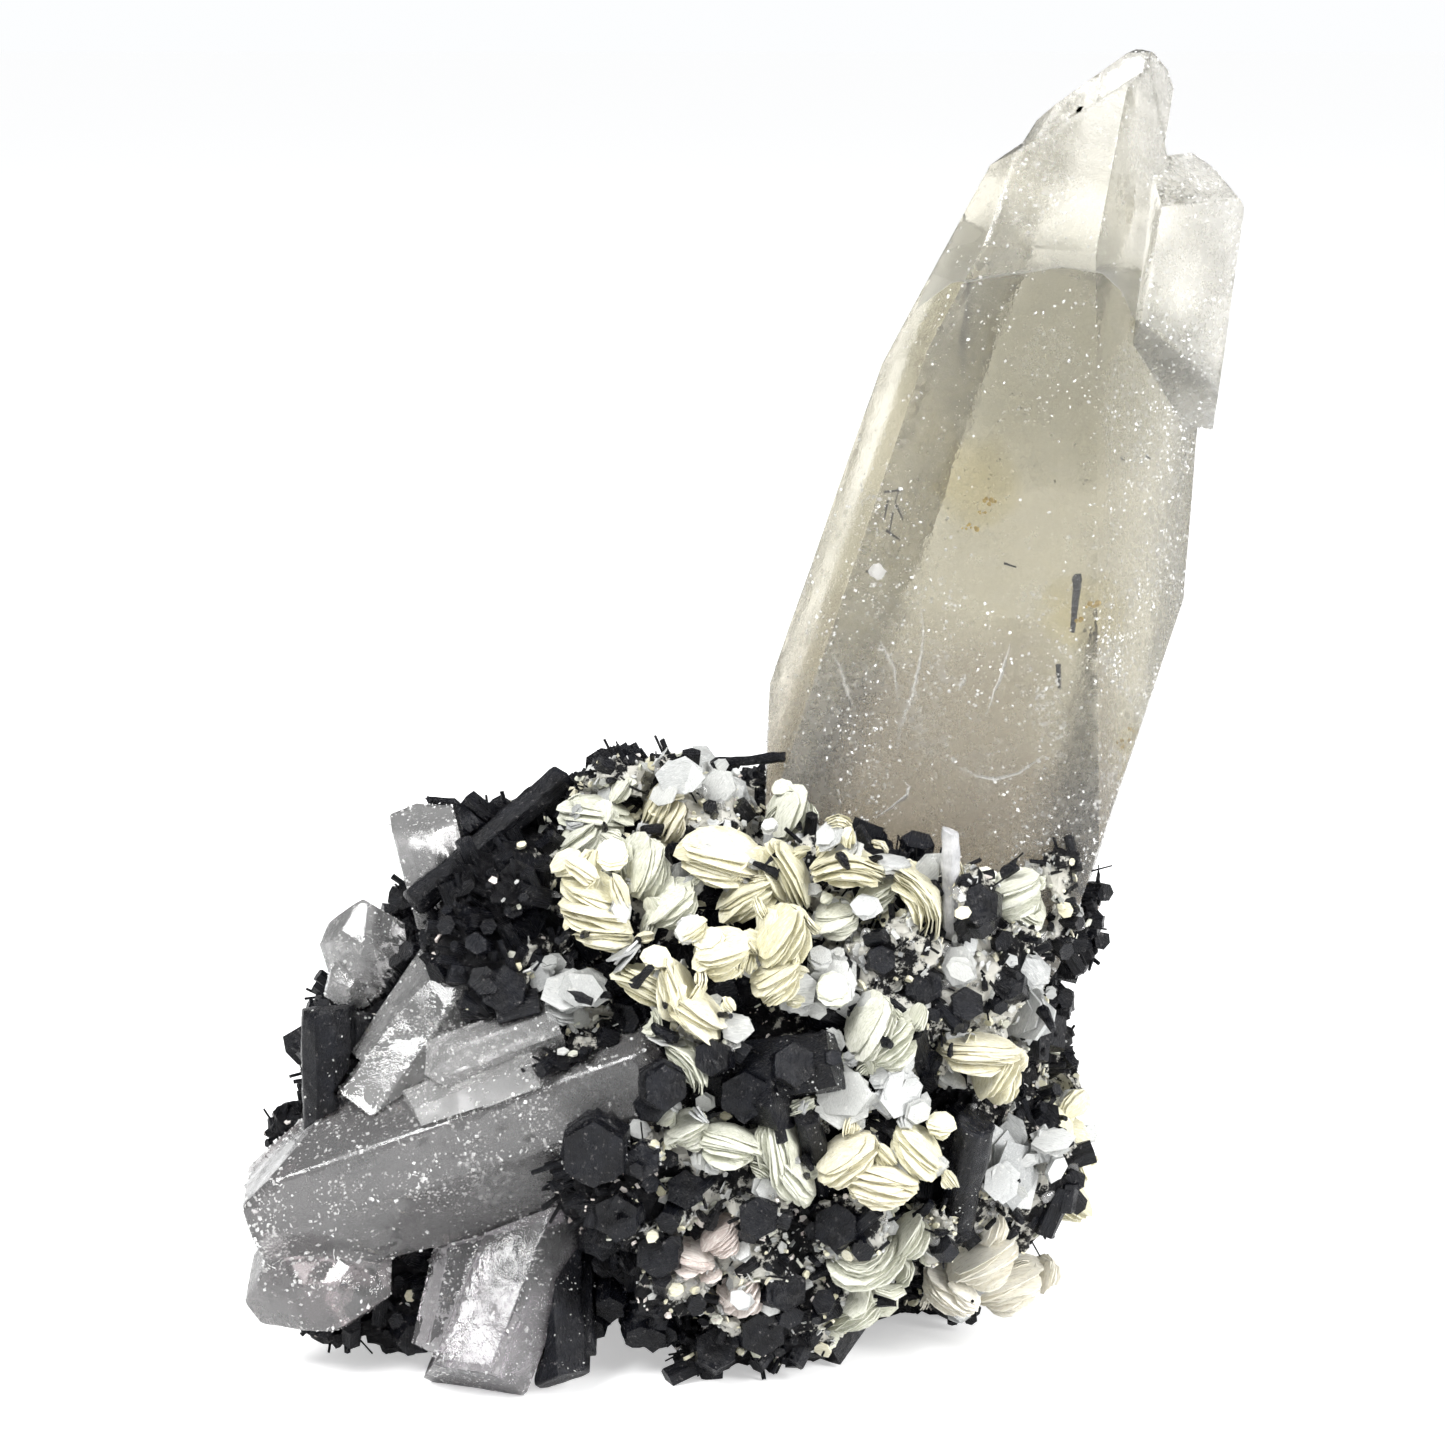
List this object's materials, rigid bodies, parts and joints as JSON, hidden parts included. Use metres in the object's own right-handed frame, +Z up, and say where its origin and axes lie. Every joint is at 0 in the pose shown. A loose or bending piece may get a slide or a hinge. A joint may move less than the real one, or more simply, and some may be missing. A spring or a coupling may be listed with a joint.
{
  "type": "mineral specimen",
  "caption": "Tall smoky quartz crystal leaning out of a mass of black schorl crusted with pale muscovite, for a shelf or a table.",
  "frame": {"origin": "middle of the footprint, on the surface that the specimen stands on", "axes": "+Z up, +X to the right seen from the front, the side with the muscovite faces -Y, and the tall crystal leans towards +X"},
  "size_m": [0.079, 0.0472, 0.1015],
  "materials": {
    "smoky_quartz": "clear to smoky, with milky veils",
    "clear_quartz": "clear to frosted",
    "schorl": "black, glassy, striated along the crystal",
    "muscovite": "pearly, layered, pale yellow"
  },
  "bodies": {
    "root": {"clear_quartz_back": "clear_quartz", "clear_quartz_front": "clear_quartz", "muscovite_arc_left": "muscovite", "muscovite_arc_right": "muscovite", "muscovite_back_high": "muscovite", "muscovite_back_left": "muscovite", "muscovite_back_middle": "muscovite", "muscovite_back_right": "muscovite", "muscovite_big": "muscovite", "muscovite_bottom_arc": "muscovite", "muscovite_centre": "muscovite", "muscovite_fan": "muscovite", "muscovite_flake": "muscovite", "muscovite_flat": "muscovite", "muscovite_foot": "muscovite", "muscovite_glint": "muscovite", "muscovite_great": "muscovite", "muscovite_green": "muscovite", "muscovite_grey": "muscovite", "muscovite_left_crown": "muscovite", "muscovite_low_arc": "muscovite", "muscovite_low_right": "muscovite", "muscovite_lower_left": "muscovite", "muscovite_oval": "muscovite", "muscovite_pale": "muscovite", "muscovite_pink": "muscovite", "muscovite_plates": "muscovite", "muscovite_right": "muscovite", "muscovite_right_crown": "muscovite", "muscovite_ring": "muscovite", "muscovite_rose": "muscovite", "muscovite_sail": "muscovite", "muscovite_sheaf": "muscovite", "muscovite_side": "muscovite", "muscovite_tall": "muscovite", "muscovite_top": "muscovite", "muscovite_top_left": "muscovite", "muscovite_under_arc": "muscovite", "muscovite_yellow": "muscovite", "quartz_block": "clear_quartz", "quartz_lump_left": "clear_quartz", "quartz_upper_left": "clear_quartz", "schorl_big": "schorl", "schorl_bottom": "schorl", "schorl_cap": "schorl", "schorl_diagonal": "schorl", "schorl_front": "schorl", "schorl_left": "schorl", "schorl_mass": "schorl", "schorl_middle": "schorl", "schorl_needle_top": "schorl", "schorl_right": "schorl", "schorl_silver": "schorl", "schorl_upper_front": "schorl", "smoky_quartz_lying": "smoky_quartz", "smoky_quartz_main": "smoky_quartz"}
  },
  "joints": []
}
